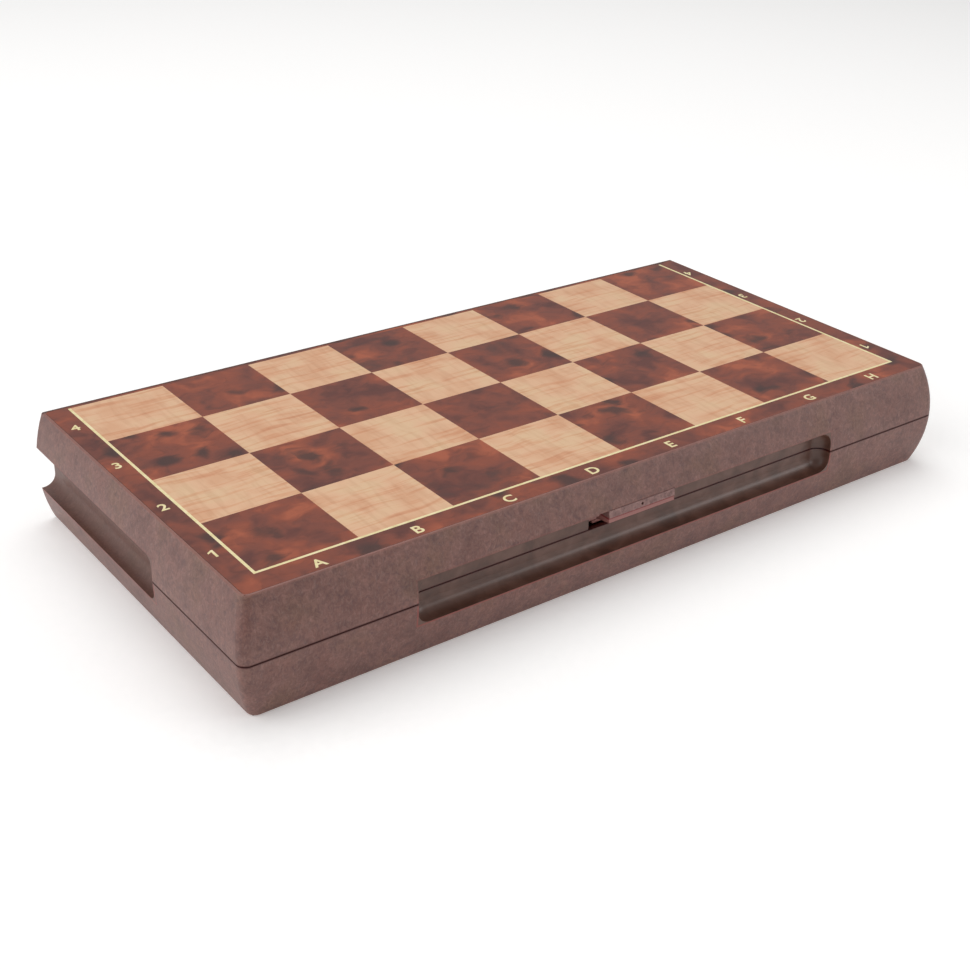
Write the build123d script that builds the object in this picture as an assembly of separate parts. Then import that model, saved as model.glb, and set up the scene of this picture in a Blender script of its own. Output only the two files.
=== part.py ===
from build123d import *
import os

# Folding magnetic chess set. The closed case stands on its underside.
# Origin: middle of the bounding box, on the ground. +X runs from file A to file H,
# +Y runs from rank 1 to the hinge, +Z is up. All sizes are in millimetres.

os.makedirs("parts", exist_ok=True)

# ---- playing surface -------------------------------------------------------
square = 41.0            # side of one square
files = 8
ranks_per_half = 4
side_margin = 11.2       # from file A or H to the edge of the panel face
front_margin = 12.5      # from rank 1 to the front edge of the panel face

# ---- case ------------------------------------------------------------------
case_height = 49.0       # both halves together
bulge = 4.8              # how far the front and sides swell out at the seam
corner_radius = 4.0      # upright front corners
edge_radius = 0.8        # rim round the playing surface
wall = 2.5
plate = 2.0              # shell under the steel sheet
seam_gap = 0.4           # between the rims of the halves
fold_gap = 0.4           # between the hinge faces when the board lies open
lip = 0.8                # shell rim round the panel
panel_thickness = 1.2
steel_thickness = 0.4
panel_clearance = 0.15
panel_corner = 2.0

# ---- finger recesses -------------------------------------------------------
grip_depth = 7.0         # measured from the fullest point of the bulge
grip_height = 18.8
grip_radius = 5.5
front_grip_length = 218.0
side_grip_length = 112.0

# ---- hinges ----------------------------------------------------------------
hinge_offset = 110.0     # middle of each hinge from the middle of the case
hinge_length = 35.0
knuckle_radius = 2.2
knuckle_gap = 0.3        # beside and around each knuckle
pin_radius = 1.1
pin_clearance = 0.05
leaf_width = 10.0
leaf_thickness = 1.2
leaf_clearance = 0.15
hinge_boss_depth = 8.0
boss_edge = 1.5
hinge_screw_spacing = 18.0
hinge_screw_inset = 6.6  # from the hinge axis

# ---- screws ----------------------------------------------------------------
screw_radius = 1.0
screw_length = 7.0
screw_head_radius = 2.0
screw_head_height = 1.0
screw_clearance = 0.05
short_screw_length = 4.2

# ---- latch -----------------------------------------------------------------
latch_travel = 5.0
tab_length = 34.6
tab_middle = -1.65       # middle of the tab when it is at the free end of its slot
tab_end_gap = 0.2
tab_height = 3.3         # upright outer face of the tab
tab_bevel = 2.8          # height of the strip and the sloping face under it
tab_strip = 1.9          # height of the set-back strip
tab_strip_back = 0.95    # top of the strip behind the fullest point of the bulge
tab_strip_flare = 0.35   # foot of the strip outside its top
tab_top_gap = 0.3
tab_skin = 0.15          # tab face below the case surface
slot_rise = 0.5          # slot top above the grip
pinhole_radius = 0.6
pinhole_depth = 2.1      # from the fullest point of the bulge
slider_thickness = 2.4
slider_gap = 0.3
slider_bottom = 2.0      # above the seam
slider_height = 7.0
slider_end = 8.0         # inner plate beyond the tab, at the free end
finger_reach = 1.85      # finger past the slot when released
finger_length = 6.0
finger_height = 3.0
guide_thickness = 1.5
guide_flange = 1.2
guide_pad = 8.0
guide_reach = 20.0       # guide beyond the slot at the free end
keeper_gap = 1.0         # from the released finger to the keeper head
keeper_head = 11.0
keeper_post = 5.0
keeper_thickness = 2.0
keeper_slack = 0.5       # keeper clear of the wall that swings past it
keeper_foot = 19.0
keeper_foot_height = 7.0
keeper_foot_drop = 2.0
keeper_head_height = 2.6
keeper_rise = 0.4

# ---- men -------------------------------------------------------------------
# name: (height, base radius)
men = {
    "king": (70.0, 13.0),
    "queen": (64.0, 13.0),
    "bishops": (55.0, 12.0),
    "knights": (48.0, 12.0),
    "rooks": (42.0, 12.0),
    "pawns": (36.0, 10.0),
}
# name: (radius of the waist, height of the collar as a share of the man)
stems = {
    "king": (5.2, 0.64),
    "queen": (4.8, 0.66),
    "bishops": (4.6, 0.62),
    "rooks": (6.2, 0.6),
    "pawns": (4.0, 0.56),
}
foot_share = 0.42        # height of the foot, of the base radius
foot_round = 0.3         # rounding of the foot, of its height
stem_share = 0.76        # stem where it leaves the foot, of the base radius
stem_hollow = 0.14       # depth of the stem's hollow side, of the base radius
collar_share = 0.35      # height of the collar, of the waist
collar_reach = 1.4       # radius of the collar, of the waist
collar_round = 0.4       # rounding of the collar, of its height
ball_sunk = 0.15         # how far a pawn's ball sinks into its collar, of its radius
mitre_slot = 0.8         # cut in a bishop's mitre
merlon_turns = (0, 60, 120)
crown_turns = (0, 45, 90, 135)
felt_thickness = 0.8
felt_inset = 0.8
magnet_radius = 5.0
magnet_thickness = 3.0
magnet_clearance = 0.05

# ---- foam trays ------------------------------------------------------------
tray_clearance = 0.3
pocket_clearance = 0.3
pocket_rib = 1.6         # foam between two pockets
axis_drop = 5.9          # axes of the laid men below the seam
facing_gap = 1.4         # foam clear of the men of the other tray
foam_margin = 0.5        # foam clear of bosses and latch parts

# ---- worked out from the sizes above ----------------------------------------
case_width = files * square + 2 * (side_margin + bulge)
case_depth = ranks_per_half * square + front_margin + bulge
seam_z = case_height / 2
front_y = -(case_depth + knuckle_radius) / 2
hinge_y = front_y + case_depth
rim_z = seam_z - seam_gap / 2
floor_z = panel_thickness + steel_thickness + plate
inner_front_y = front_y + grip_depth + wall
back_y = hinge_y - fold_gap / 2
king_radius = men["king"][1]
man_axis_z = seam_z - axis_drop
facing_foam_z = case_height - man_axis_z - king_radius - facing_gap
slot_left = tab_middle - tab_length / 2 - tab_end_gap - latch_travel
slot_right = tab_middle + tab_length / 2 + tab_end_gap
slot_top = seam_z + grip_height / 2 + slot_rise
slider_y = inner_front_y + slider_gap
guide_y = slider_y + slider_thickness + slider_gap
finger_end = slot_left - finger_reach
keeper_right = finger_end - keeper_gap
guide_left = keeper_right - keeper_head - keeper_post - guide_pad
guide_right = slot_right + guide_reach
hinge_xs = (-hinge_offset, hinge_offset)


# ---- shapes used everywhere -------------------------------------------------
def block(x0, x1, y0, y1, z0, z1):
    """Box given by its faces."""
    box = Box(x1 - x0, y1 - y0, z1 - z0)
    return Pos((x0 + x1) / 2, (y0 + y1) / 2, (z0 + z1) / 2) * box


def rod_x(x0, x1, y, z, radius):
    """Round bar along X."""
    bar = Cylinder(radius, x1 - x0, rotation=(0, 90, 0))
    return Pos((x0 + x1) / 2, y, z) * bar


def turn_over(shape):
    """Half a turn about the long middle line, which swaps the halves of the case."""
    return shape.rotate(Axis((0, 0, seam_z), (0, 1, 0)), 180)


def group(shapes):
    """Separate solids kept in one node."""
    return Compound([solid for shape in shapes for solid in shape.solids()])


# ---- case shape -------------------------------------------------------------
def case_solid(inset, bottom, top):
    """Slice of the case from bottom to top: arched front and sides, flat hinge face."""
    half = case_width / 2 - inset
    y0 = front_y + inset
    y1 = back_y - inset
    side_arc = ThreePointArc((half - bulge, 0), (half, seam_z), (half - bulge, case_height))
    other_arc = ThreePointArc((bulge - half, 0), (-half, seam_z), (bulge - half, case_height))
    floor_line = Line((bulge - half, 0), (half - bulge, 0))
    top_line = Line((bulge - half, case_height), (half - bulge, case_height))
    across = make_face(Plane.XZ * (side_arc + other_arc + floor_line + top_line))
    front_arc = ThreePointArc((y0 + bulge, 0), (y0, seam_z), (y0 + bulge, case_height))
    ends = Polyline((y0 + bulge, 0), (y1, 0), (y1, case_height), (y0 + bulge, case_height))
    along = make_face(Plane.YZ * (front_arc + ends))
    body = block(-half, half, y0, y1, bottom, top)
    body &= extrude(across, amount=case_depth, both=True)
    body &= extrude(along, amount=case_width, both=True)
    uprights = body.edges().filter_by(
        lambda e: e.center().Y < y0 + bulge + edge_radius and e.bounding_box().size.Z > edge_radius
    )
    body = fillet(uprights, corner_radius - inset)
    ends_z = [z for z in (0, case_height) if bottom <= z <= top]
    for z in ends_z:
        rims = body.edges().filter_by_position(Axis.Z, z, z)
        body = fillet(rims.filter_by(lambda e: e.center().Y < y1 - bulge), edge_radius)
    return body


def front_grip(grow):
    """Finger recess along the front, or the block that its wall follows."""
    reach = front_grip_length / 2 + grow
    rise = grip_height / 2 + grow
    y0 = front_y - wall
    y1 = front_y + grip_depth + grow
    return block(-reach, reach, y0, y1, seam_z - rise, seam_z + rise)


def side_grip(grow, side):
    """Finger recess at the hinge end of one side, open at the hinge face."""
    rise = grip_height / 2 + grow
    x0 = case_width / 2 - grip_depth - grow
    x1 = case_width / 2 + wall
    y0 = hinge_y - side_grip_length - grow
    y1 = hinge_y + wall
    grip = block(x0, x1, y0, y1, seam_z - rise, seam_z + rise)
    return grip if side > 0 else grip.mirror(Plane.YZ)


def round_grips():
    """The three recesses with their coved inner edges."""
    front = front_grip(0)
    mouth = front.bounding_box().min.Y
    coves = front.edges().filter_by(lambda e: e.center().Y > mouth + edge_radius)
    grips = fillet(coves, grip_radius)
    side = side_grip(0, 1)
    far = side.bounding_box().max
    coves = side.edges().filter_by(
        lambda e: e.center().X < far.X - edge_radius and e.center().Y < far.Y - edge_radius
    )
    side = fillet(coves, grip_radius)
    return [grips, side, side.mirror(Plane.YZ)]


def panel_outline(clearance):
    """Plan of the panel seat, or of a sheet that drops into it."""
    half = case_width / 2 - bulge - lip - clearance
    y0 = front_y + bulge + lip + clearance
    y1 = back_y - lip - clearance
    plan = Pos(0, (y0 + y1) / 2) * Rectangle(2 * half, y1 - y0)
    return fillet(plan.vertices(), panel_corner)


def hinge_boss(x):
    """Block behind the hinge face that takes the leaf and its screws."""
    reach = hinge_length / 2 + boss_edge + leaf_clearance
    y0 = hinge_y - leaf_width - boss_edge
    z1 = rim_z
    z0 = rim_z - leaf_thickness - hinge_boss_depth
    return block(x - reach, x + reach, y0, back_y - wall / 2, z0, z1)


def hinge_seat(x):
    """Cut for one leaf and the knuckles, from the rim of the lower half."""
    reach = hinge_length / 2 + leaf_clearance
    y0 = hinge_y - leaf_width - leaf_clearance
    seat = block(x - reach, x + reach, y0, hinge_y + wall, rim_z - leaf_thickness, seam_z)
    knuckles = rod_x(x - reach, x + reach, hinge_y, seam_z, knuckle_radius + knuckle_gap)
    return seat + knuckles


def hinge_screw_points():
    """Places of the four screws of one half, in plan."""
    y = hinge_y - hinge_screw_inset
    offsets = (-hinge_screw_spacing / 2, hinge_screw_spacing / 2)
    return [(x + dx, y) for x in hinge_xs for dx in offsets]


def countersunk_screw(clearance):
    """Screw that points down, with its flat head at height 0."""
    radius = screw_radius + clearance
    shank = Pos(0, 0, -screw_length / 2) * Cylinder(radius, screw_length)
    top = screw_head_radius + clearance
    head = Pos(0, 0, -screw_head_height / 2) * Cone(radius, top, screw_head_height)
    return shank + head


def pan_screw(clearance):
    """Short screw that points along -Y, with the underside of its head at y = 0."""
    radius = screw_radius + clearance
    depth = short_screw_length
    shank = Pos(0, -depth / 2, 0) * Cylinder(radius, depth, rotation=(90, 0, 0))
    height = screw_head_height
    head = Pos(0, height / 2, 0) * Cylinder(screw_head_radius, height, rotation=(90, 0, 0))
    return shank + head


# ---- shells -----------------------------------------------------------------
def half_shell():
    """Lower half, with the panel seat, grips, hinge bosses and seats."""
    shell = case_solid(0, 0, rim_z)
    hollow = case_solid(wall, floor_z, seam_z)
    hollow -= front_grip(wall)
    for side in (-1, 1):
        hollow -= side_grip(wall, side)
    for x in hinge_xs:
        hollow -= hinge_boss(x)
    shell -= hollow
    for grip in round_grips():
        shell -= grip
    seat_depth = panel_thickness + steel_thickness
    shell -= extrude(panel_outline(0), amount=seat_depth)
    for x in hinge_xs:
        shell -= hinge_seat(x)
    for x, y in hinge_screw_points():
        shell -= Pos(x, y, rim_z) * countersunk_screw(screw_clearance)
    return shell


def keeper_screw_points():
    """Places of the keeper screws, as (x, z)."""
    z = seam_z - keeper_foot_drop - keeper_foot_height / 2
    inset = 2 * screw_head_radius
    return [(keeper_right - inset, z), (keeper_right - keeper_foot + inset, z)]


def guide_screw_points():
    """Places of the guide screws, as (x, z)."""
    z = seam_z + slider_bottom + slider_height / 2
    return [(guide_left + guide_pad / 2, z), (guide_right - guide_pad / 2, z)]


def lower_shell():
    """Lower half with the pad of the keeper."""
    z1 = seam_z - keeper_foot_drop
    z0 = z1 - keeper_foot_height
    x0 = keeper_right - keeper_foot
    pad = block(x0, keeper_right, inner_front_y, inner_front_y + keeper_slack, z0, z1)
    shell = half_shell() + pad
    face_y = inner_front_y + keeper_slack + keeper_thickness
    for x, z in keeper_screw_points():
        shell -= Pos(x, face_y, z) * pan_screw(screw_clearance)
    return shell


def upper_shell():
    """Upper half with the slot of the latch and the pads of its guide."""
    shell = turn_over(half_shell())
    z0 = seam_z + slider_bottom
    z1 = z0 + slider_height
    for x in (guide_left, guide_right - guide_pad):
        shell += block(x, x + guide_pad, inner_front_y, guide_y, z0, z1)
    slot_end = inner_front_y + slider_gap / 2
    shell -= block(slot_left, slot_right, front_y - wall, slot_end, seam_z - wall, slot_top)
    for x, z in guide_screw_points():
        shell -= Pos(x, guide_y + guide_thickness, z) * pan_screw(screw_clearance)
    return shell


# ---- sheets in the seats ------------------------------------------------------
def playing_panel():
    """Printed panel of the lower half, flush with the underside."""
    return extrude(panel_outline(panel_clearance), amount=panel_thickness)


def steel_sheet():
    """Steel sheet between the panel and the shell."""
    sheet = extrude(panel_outline(panel_clearance), amount=steel_thickness)
    return Pos(0, 0, panel_thickness) * sheet


# ---- hinges -------------------------------------------------------------------
def knuckle_spans(x, outer):
    """Ranges along X of the knuckles that belong to one leaf."""
    third = hinge_length / 3
    gap = knuckle_gap / 2
    if not outer:
        return [(x - third / 2 + gap, x + third / 2 - gap)]
    left = (x - hinge_length / 2, x - third / 2 - gap)
    right = (x + third / 2 + gap, x + hinge_length / 2)
    return [left, right]


def hinge_leaf(x, outer):
    """Leaf that lies in the rim of the lower half, with its knuckles."""
    y0 = hinge_y - leaf_width
    y1 = hinge_y - knuckle_radius - knuckle_gap
    z0 = rim_z - leaf_thickness
    leaf = block(x - hinge_length / 2, x + hinge_length / 2, y0, y1, z0, rim_z)
    for x0, x1 in knuckle_spans(x, outer):
        leaf += block(x0, x1, y1 - boss_edge, hinge_y, z0, rim_z)
        leaf += rod_x(x0, x1, hinge_y, seam_z, knuckle_radius)
    reach = hinge_length
    leaf -= rod_x(x - reach, x + reach, hinge_y, seam_z, pin_radius + pin_clearance)
    for px, py in hinge_screw_points():
        if abs(px - x) < hinge_length:
            leaf -= Pos(px, py, rim_z) * countersunk_screw(screw_clearance)
    return leaf


def hinge_pins():
    """One pin through the knuckles of each hinge."""
    reach = hinge_length / 2
    return group(rod_x(x - reach, x + reach, hinge_y, seam_z, pin_radius) for x in hinge_xs)


def hinge_screws():
    """Four countersunk screws of the lower half."""
    return group(Pos(x, y, rim_z) * countersunk_screw(0) for x, y in hinge_screw_points())


# ---- latch ----------------------------------------------------------------------
def latch_slider():
    """Tab in the slot, the web behind it and the inner plate with its finger."""
    top = slot_top - tab_top_gap
    corner = top - tab_height
    low = corner - tab_bevel
    strip_y = front_y + tab_strip_back
    inner = slider_y + slider_thickness
    outline = Polyline(
        (front_y - wall, top),
        (front_y - wall, corner),
        (strip_y, corner),
        (strip_y - tab_strip_flare, corner - tab_strip),
        (front_y + grip_depth, low),
        (inner, low),
        (inner, top),
        close=True,
    )
    section = make_face(Plane.YZ * outline)
    left = tab_middle - tab_length / 2
    tab = extrude(Pos(left, 0, 0) * section, amount=tab_length)
    tab &= case_solid(tab_skin, seam_z, case_height)
    z0 = seam_z + slider_bottom
    right = slot_right + slider_end
    plate_left = finger_end + finger_length
    tab += block(plate_left, right, slider_y, inner, z0, z0 + slider_height)
    tab += block(finger_end, plate_left, slider_y, inner, z0, z0 + finger_height)
    pinhole = Cylinder(pinhole_radius, 2 * pinhole_depth, rotation=(90, 0, 0))
    tab -= Pos(tab_middle, front_y, top - tab_height / 2) * pinhole
    return tab


def latch_guide():
    """Strip screwed to the wall, with a flange that carries the inner plate."""
    z1 = seam_z + slider_bottom + slider_height
    flange_top = seam_z + slider_bottom - slider_gap
    z0 = flange_top - guide_flange
    strip = block(guide_left, guide_right, guide_y, guide_y + guide_thickness, z0, z1)
    flange_left = finger_end + finger_length
    flange_right = guide_right - guide_pad - slider_gap
    strip += block(flange_left, flange_right, slider_y, guide_y, z0, flange_top)
    for x, z in guide_screw_points():
        strip -= Pos(x, guide_y + guide_thickness, z) * pan_screw(screw_clearance)
    return strip


def latch_guide_screws():
    """Two screws that hold the guide."""
    y = guide_y + guide_thickness
    return group(Pos(x, y, z) * pan_screw(0) for x, z in guide_screw_points())


def latch_keeper():
    """Foot on the lower half, post past the seam and the head over the finger."""
    y0 = inner_front_y + keeper_slack
    y1 = y0 + keeper_thickness
    foot_top = seam_z - keeper_foot_drop
    head_z = seam_z + slider_bottom + finger_height + keeper_rise
    head_left = keeper_right - keeper_head
    foot_bottom = foot_top - keeper_foot_height
    keeper = block(keeper_right - keeper_foot, keeper_right, y0, y1, foot_bottom, foot_top)
    top = head_z + keeper_head_height
    keeper += block(head_left, head_left + keeper_post, y0, y1, foot_bottom, top)
    keeper += block(head_left, keeper_right, y0, y1, head_z, top)
    for x, z in keeper_screw_points():
        keeper -= Pos(x, y1, z) * pan_screw(screw_clearance)
    return keeper


def keeper_screws():
    """Two screws that hold the keeper."""
    y = inner_front_y + keeper_slack + keeper_thickness
    return group(Pos(x, y, z) * pan_screw(0) for x, z in keeper_screw_points())


# ---- men --------------------------------------------------------------------------
def man_foot(radius):
    """Round foot with a softened upper edge. Returns it and its height."""
    foot = foot_share * radius
    base = Pos(0, 0, foot / 2) * Cylinder(radius, foot)
    return fillet(base.edges().sort_by(Axis.Z)[-1], foot_round * foot), foot


def man_body(name):
    """Foot, waisted stem and collar of a turned man. Returns it and the collar's top."""
    height, radius = men[name]
    waist, neck_share = stems[name]
    base, foot = man_foot(radius)
    neck = neck_share * height
    collar = collar_share * waist
    wide = stem_share * radius
    side = SagittaArc((wide, foot), (waist, neck), stem_hollow * radius)
    rest = Polyline((waist, neck), (0, neck), (0, foot), (wide, foot))
    stem = revolve(make_face(Plane.XZ * (side + rest)), Axis.Z)
    disc = Pos(0, 0, neck + collar / 2) * Cylinder(collar_reach * waist, collar)
    disc = fillet(disc.edges().filter_by(GeomType.CIRCLE), collar_round * collar)
    return base + stem + disc, neck + collar


def pawn(name):
    """Ball on a collar."""
    height = men[name][0]
    body, z = man_body(name)
    ball = (height - z) / (2 - ball_sunk)
    return body + Pos(0, 0, height - ball) * Sphere(ball)


def rook(name):
    """Tower with six merlons."""
    height, radius = men[name]
    body, z = man_body(name)
    tower = 0.72 * radius
    rise = height - z
    body += Pos(0, 0, z + rise / 2) * Cylinder(tower, rise)
    body -= Pos(0, 0, height) * Cylinder(0.66 * tower, 0.7 * rise)
    slit = Box(2 * radius, 0.2 * radius, 0.5 * rise)
    for angle in merlon_turns:
        body -= Pos(0, 0, height) * Rot(0, 0, angle) * slit
    return body


def bishop(name):
    """Mitre with a slanting cut and a small ball."""
    height, radius = men[name]
    body, z = man_body(name)
    ball = 0.13 * radius
    tip = height - ball
    rise = tip - z
    wide = 0.5 * radius
    side = ThreePointArc((0.6 * wide, z), (wide, z + 0.4 * rise), (0, tip))
    rest = Polyline((0, tip), (0, z), (0.6 * wide, z))
    mitre = revolve(make_face(Plane.XZ * (side + rest)), Axis.Z)
    cut = Pos(wide, 0, z + 0.62 * rise) * Rot(0, 45, 0) * Box(mitre_slot, 2 * wide, 1.3 * wide)
    return body + (mitre - cut) + Pos(0, 0, tip - ball / 2) * Sphere(ball)


def crown(z, rise, low, high):
    """Flared crown, round in plan."""
    return Pos(0, 0, z + rise / 2) * Cone(low, high, rise)


def queen(name):
    """Flared crown with eight points and a ball."""
    height, radius = men[name]
    body, z = man_body(name)
    ball = 0.17 * radius
    rise = 0.78 * (height - z)
    brim = 0.62 * radius
    body += crown(z, rise, 0.36 * radius, brim)
    body -= Pos(0, 0, z + rise) * Cylinder(0.7 * brim, 0.3 * rise)
    notch = Cylinder(0.16 * brim, 4 * brim, rotation=(0, 90, 0))
    for angle in crown_turns:
        body -= Pos(0, 0, z + rise) * Rot(0, 0, angle) * notch
    lid = z + 0.8 * rise
    body += crown(lid, height - lid - ball, 0.6 * brim, 0.1 * brim)
    return body + Pos(0, 0, height - ball) * Sphere(ball)


def king(name):
    """Flared crown with a low lid and a cross."""
    height, radius = men[name]
    body, z = man_body(name)
    cross = 0.62 * radius
    rise = 0.56 * (height - z)
    brim = 0.6 * radius
    body += crown(z, rise, 0.38 * radius, brim)
    lid_top = height - cross
    body += crown(z + rise, lid_top - z - rise, 0.9 * brim, 0.2 * brim)
    bar = 0.3 * cross
    middle = height - cross / 2
    body += Pos(0, 0, middle - bar / 2) * Box(bar, bar, cross + bar)
    return body + Pos(0, 0, middle + bar / 3) * Box(cross, bar, bar)


def knight(name):
    """Horse's head on the turned foot."""
    height, radius = men[name]
    base, foot = man_foot(radius)
    ring = Pos(0, 0, foot * 1.4) * Cylinder(stem_share * radius, 0.9 * foot)
    sole_z = 1.6 * foot
    rise = height - sole_z
    half = 0.62 * radius
    chest = ThreePointArc((half, 0), (0.62 * half, 0.22 * rise), (0.35 * half, 0.42 * rise))
    jaw = Polyline((0.35 * half, 0.42 * rise), (0.95 * half, 0.4 * rise), (1.3 * half, 0.5 * rise))
    brow = Polyline((1.3 * half, 0.5 * rise), (1.22 * half, 0.62 * rise), (0.45 * half, 0.86 * rise))
    ear = Polyline((0.45 * half, 0.86 * rise), (0.25 * half, rise), (-0.1 * half, 0.88 * rise))
    mane = ThreePointArc((-0.1 * half, 0.88 * rise), (-0.98 * half, 0.52 * rise), (-half, 0))
    sole = Line((-half, 0), (half, 0))
    side = make_face(Plane.XZ * (chest + jaw + brow + ear + mane + sole))
    head = extrude(side, amount=0.38 * radius, both=True)
    return base + ring + Pos(0, 0, sole_z) * head


makers = {
    "king": king,
    "queen": queen,
    "bishops": bishop,
    "knights": knight,
    "rooks": rook,
    "pawns": pawn,
}


def man_on_felt(name):
    """Man above its felt, with the bore for its magnet."""
    body = makers[name](name)
    height = men[name][0]
    body &= Pos(0, 0, felt_thickness + height / 2) * Box(2 * height, 2 * height, height)
    bore_radius = magnet_radius + magnet_clearance
    bore = Cylinder(bore_radius, magnet_thickness)
    return body - Pos(0, 0, felt_thickness + magnet_thickness / 2) * bore


def magnet():
    disc = Cylinder(magnet_radius, magnet_thickness)
    return Pos(0, 0, felt_thickness + magnet_thickness / 2) * disc


def felt_pad(radius):
    return Pos(0, 0, felt_thickness / 2) * Cylinder(radius - felt_inset, felt_thickness)


# ---- places of the men in the lower tray --------------------------------------------
# Rows from the front wall to the hinge. Each man lies on its side with its foot
# towards the hinge, in columns that start at the side wall.
rows = (
    ("pawns", "pawns", "pawns", "pawns"),
    ("rooks", "rooks", "pawns", "pawns", "pawns", "pawns"),
    ("king", "queen", "bishops", "bishops", "knights", "knights"),
)


def tray_places():
    """(name, x of the axis, y of the foot) for each man of the lower tray."""
    places = []
    y = inner_front_y + tray_clearance + pocket_rib + pocket_clearance
    first_x = grip_depth + wall + tray_clearance + pocket_rib - case_width / 2
    for row in rows:
        y += max(men[name][0] for name in row)
        x = first_x
        for name in row:
            radius = men[name][1]
            x += radius + pocket_clearance
            places.append((name, x, y))
            x += radius + pocket_clearance + pocket_rib
        y += 2 * pocket_clearance + pocket_rib
    return places


def lay_down(shape, x, y):
    """Put an upright piece on its side in the tray, foot at y."""
    return Pos(x, y, man_axis_z) * Rot(90, 0, 0) * shape


# ---- foam ---------------------------------------------------------------------------
def foam_blank():
    """Foam that fills the lower half, up to the axes of the men on the file A side."""
    big = case_width
    foam = case_solid(wall + tray_clearance, floor_z, man_axis_z)
    foam -= block(0, big, -big, big, facing_foam_z, man_axis_z)
    foam -= front_grip(wall + tray_clearance)
    for side in (-1, 1):
        foam -= side_grip(wall + tray_clearance, side)
    reach = hinge_length / 2 + boss_edge + foam_margin
    y0 = hinge_y - leaf_width - boss_edge - foam_margin
    for x in hinge_xs:
        foam -= block(x - reach, x + reach, y0, hinge_y, floor_z, seam_z)
    return foam


def tray_pockets():
    """Cylinders that the men are pressed into, open at the top of the foam."""
    pockets = []
    for name, x, y in tray_places():
        height, radius = men[name]
        radius += pocket_clearance
        length = height + 2 * pocket_clearance
        trough = Cylinder(radius, length, rotation=(90, 0, 0))
        pockets.append(Pos(x, y - height / 2, man_axis_z) * trough)
    return pockets


def foam_tray(latch_room):
    """Tray of the lower half with its pockets and the room for latch parts."""
    foam = foam_blank()
    for pocket in tray_pockets():
        foam -= pocket
    return foam - latch_room


def keeper_room():
    """Room in the lower foam for the keeper and its screws."""
    depth = keeper_slack + keeper_thickness + screw_head_height + foam_margin
    x0 = keeper_right - keeper_foot - foam_margin
    x1 = keeper_right + foam_margin
    return block(x0, x1, front_y, inner_front_y + depth, floor_z, seam_z)


def guide_room():
    """Room in the upper foam for the guide, seen from the turned half."""
    y1 = guide_y + guide_thickness + screw_head_height + foam_margin
    x0 = -guide_right - foam_margin
    x1 = foam_margin - guide_left
    return block(x0, x1, front_y, y1, floor_z, seam_z)


# ---- writing the parts ----------------------------------------------------------------
def save(name, shape):
    shape.label = name
    export_step(shape, f"parts/{name}.step")


def save_men():
    """Both armies: the light one in the lower tray, the dark one turned over."""
    places = tray_places()
    loose = {"magnets": [], "felt_pads": []}
    for name in men:
        upright = man_on_felt(name)
        laid = [lay_down(upright, x, y) for n, x, y in places if n == name]
        save("light_" + name, group(laid))
        save("dark_" + name, turn_over(group(laid)))
    for name, x, y in places:
        loose["magnets"].append(lay_down(magnet(), x, y))
        loose["felt_pads"].append(lay_down(felt_pad(men[name][1]), x, y))
    for kind, solids in loose.items():
        save("light_" + kind, group(solids))
        save("dark_" + kind, turn_over(group(solids)))


save("lower_shell", lower_shell())
save("upper_shell", upper_shell())
save("lower_playing_panel", playing_panel())
save("upper_playing_panel", turn_over(playing_panel()))
save("lower_steel_sheet", steel_sheet())
save("upper_steel_sheet", turn_over(steel_sheet()))
save("lower_foam_tray", foam_tray(keeper_room()))
save("upper_foam_tray", turn_over(foam_tray(guide_room())))
save("lower_hinge_leaves", group(hinge_leaf(x, True) for x in hinge_xs))
save("upper_hinge_leaves", turn_over(group(hinge_leaf(x, False) for x in hinge_xs)))
save("hinge_pins", hinge_pins())
save("lower_hinge_screws", hinge_screws())
save("upper_hinge_screws", turn_over(hinge_screws()))
save("latch_slider", latch_slider())
save("latch_guide", latch_guide())
save("latch_guide_screws", latch_guide_screws())
save("latch_keeper", latch_keeper())
save("keeper_screws", keeper_screws())
save_men()
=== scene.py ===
from math import cos, pi, radians, sin
import bmesh
import bpy
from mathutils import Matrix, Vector


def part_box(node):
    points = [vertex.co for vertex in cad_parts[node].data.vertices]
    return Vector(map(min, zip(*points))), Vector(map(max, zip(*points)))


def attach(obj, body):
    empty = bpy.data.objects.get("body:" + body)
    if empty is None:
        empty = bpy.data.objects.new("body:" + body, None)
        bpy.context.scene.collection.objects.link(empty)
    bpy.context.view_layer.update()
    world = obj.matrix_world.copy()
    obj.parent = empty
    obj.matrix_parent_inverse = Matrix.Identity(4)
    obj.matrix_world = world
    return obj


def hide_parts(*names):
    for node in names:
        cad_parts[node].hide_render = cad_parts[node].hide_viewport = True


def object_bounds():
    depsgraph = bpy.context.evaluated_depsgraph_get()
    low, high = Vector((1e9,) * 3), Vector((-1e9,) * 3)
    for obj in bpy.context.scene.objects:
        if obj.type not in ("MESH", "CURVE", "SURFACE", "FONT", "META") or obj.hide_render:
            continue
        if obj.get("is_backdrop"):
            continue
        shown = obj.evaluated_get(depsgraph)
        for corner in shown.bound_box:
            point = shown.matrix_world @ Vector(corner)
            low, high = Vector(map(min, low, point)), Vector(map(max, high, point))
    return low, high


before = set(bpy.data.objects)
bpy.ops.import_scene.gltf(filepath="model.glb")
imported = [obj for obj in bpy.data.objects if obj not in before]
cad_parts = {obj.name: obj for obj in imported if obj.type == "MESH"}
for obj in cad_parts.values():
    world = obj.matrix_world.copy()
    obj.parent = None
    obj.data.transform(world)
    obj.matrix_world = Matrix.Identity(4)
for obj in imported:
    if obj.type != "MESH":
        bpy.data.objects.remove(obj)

cad_low, cad_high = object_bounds()


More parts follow.
